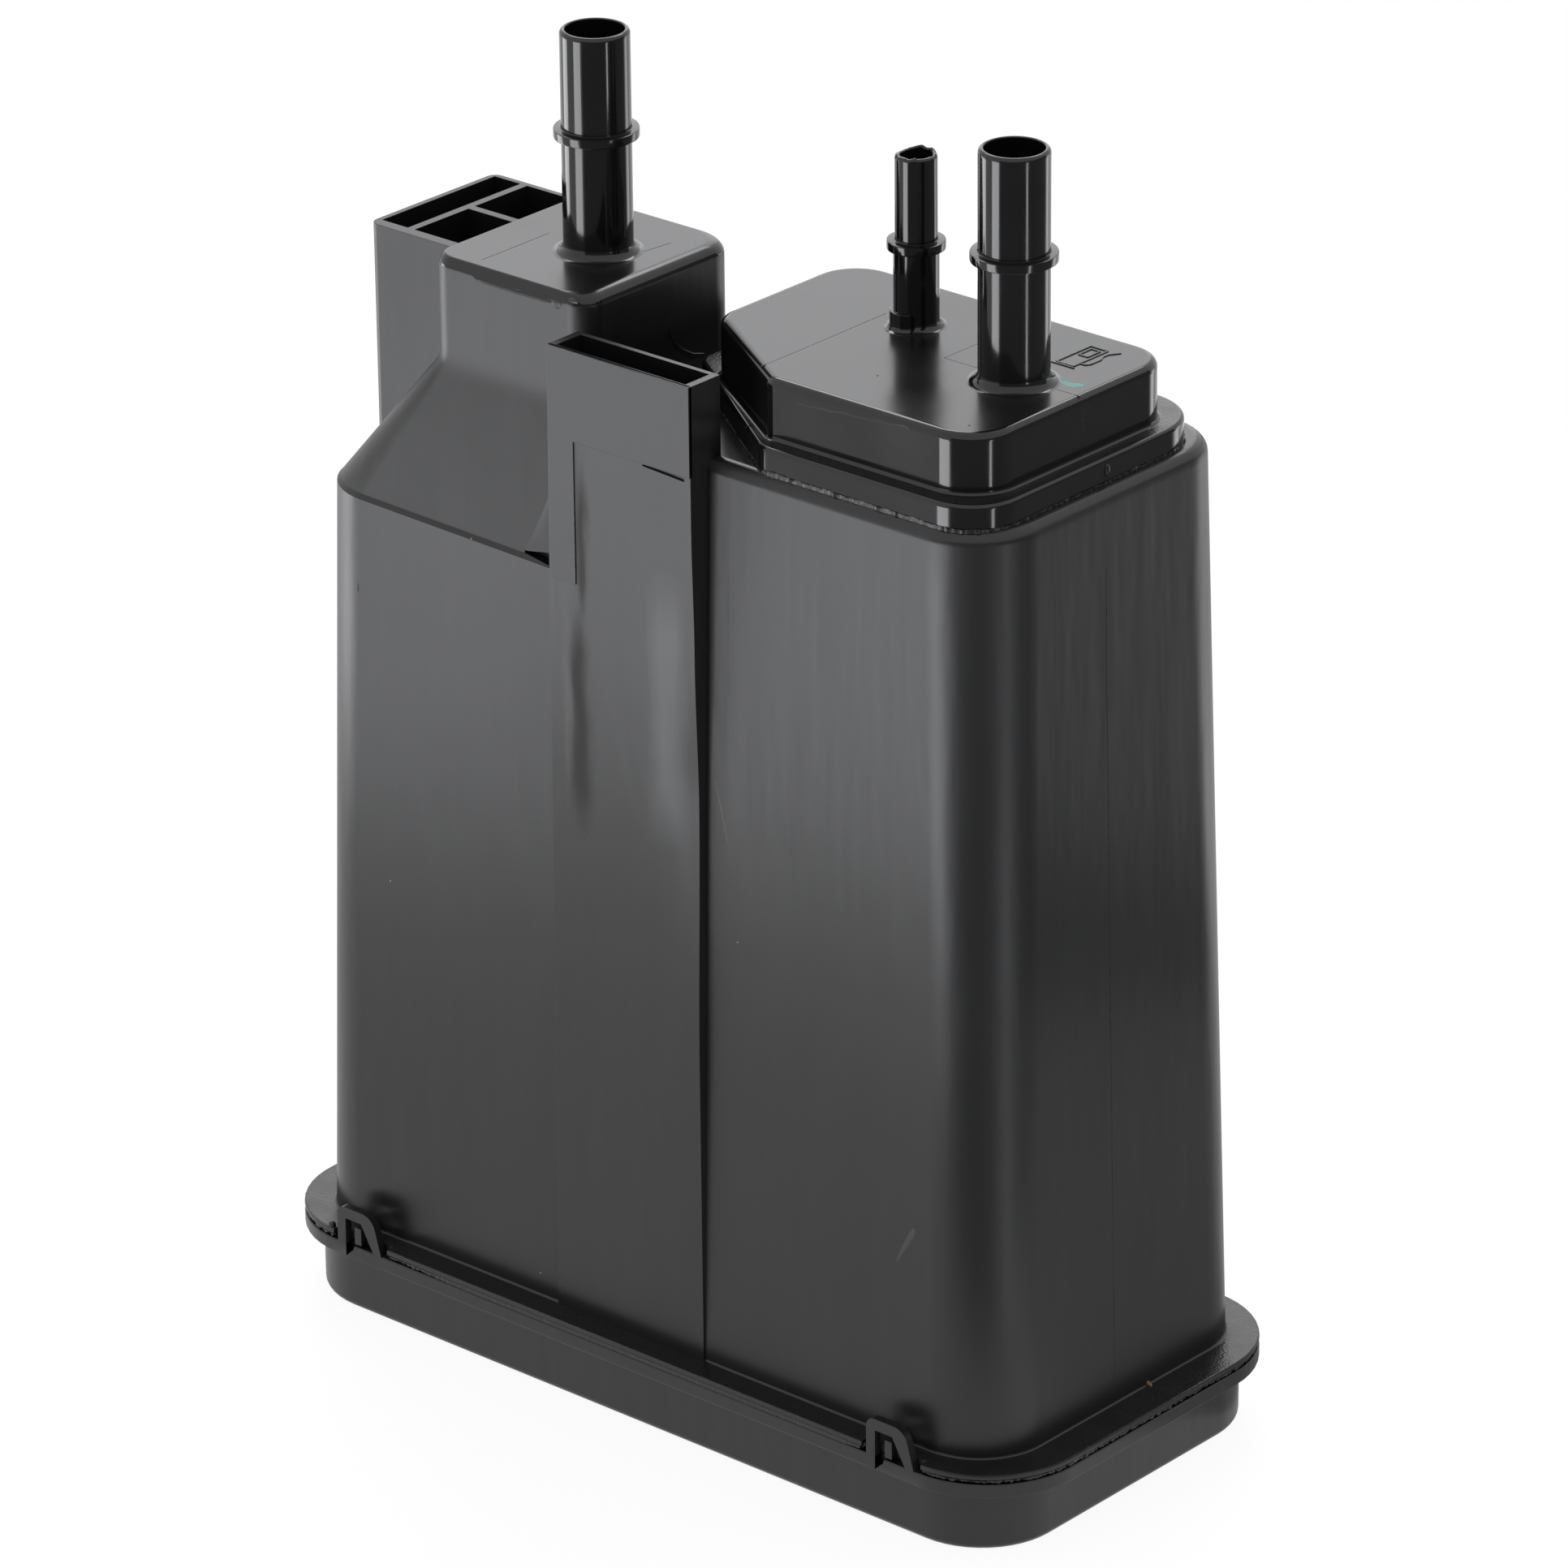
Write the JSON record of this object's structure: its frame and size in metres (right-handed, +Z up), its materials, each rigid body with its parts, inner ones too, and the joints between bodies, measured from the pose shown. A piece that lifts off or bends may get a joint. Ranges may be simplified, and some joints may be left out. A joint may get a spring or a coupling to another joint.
{
  "type": "charcoal canister",
  "caption": "Tall tapered canister on a flanged base with a tower, upright pipe stubs and open mounting pockets; traps fuel vapour in carbon.",
  "frame": {"origin": "middle of the cover's underside, on which the canister stands", "axes": "+Z up along the pipe stubs, +X from the vent chamber to the tank chamber, -Y to the front pocket"},
  "size_m": [0.2266, 0.1078, 0.317],
  "materials": {
    "housing": "satin black moulded nylon",
    "port_cap": "semi-gloss black moulded nylon",
    "bottom_cover": "satin black moulded nylon",
    "carbon": "packed carbon granules",
    "fleece": "felted",
    "grid": "moulded nylon",
    "foam": "open-cell foam",
    "spring": "drawn wire"
  },
  "bodies": {
    "root": {"housing": "housing", "port_cap": "port_cap", "bottom_cover": "bottom_cover", "tank_carbon_bed": "carbon", "vent_carbon_bed": "carbon", "tank_port_fleece": "fleece", "purge_port_fleece": "fleece", "vent_port_fleece": "fleece", "tank_lower_fleece": "fleece", "vent_lower_fleece": "fleece", "tank_port_screen": "grid", "purge_port_screen": "grid", "vent_port_screen": "grid", "tank_pressure_plate": "grid", "vent_pressure_plate": "grid", "tank_lower_foam": "foam", "vent_lower_foam": "foam", "tank_spring_front": "spring", "tank_spring_rear": "spring", "vent_spring_front": "spring", "vent_spring_rear": "spring"}
  },
  "joints": []
}
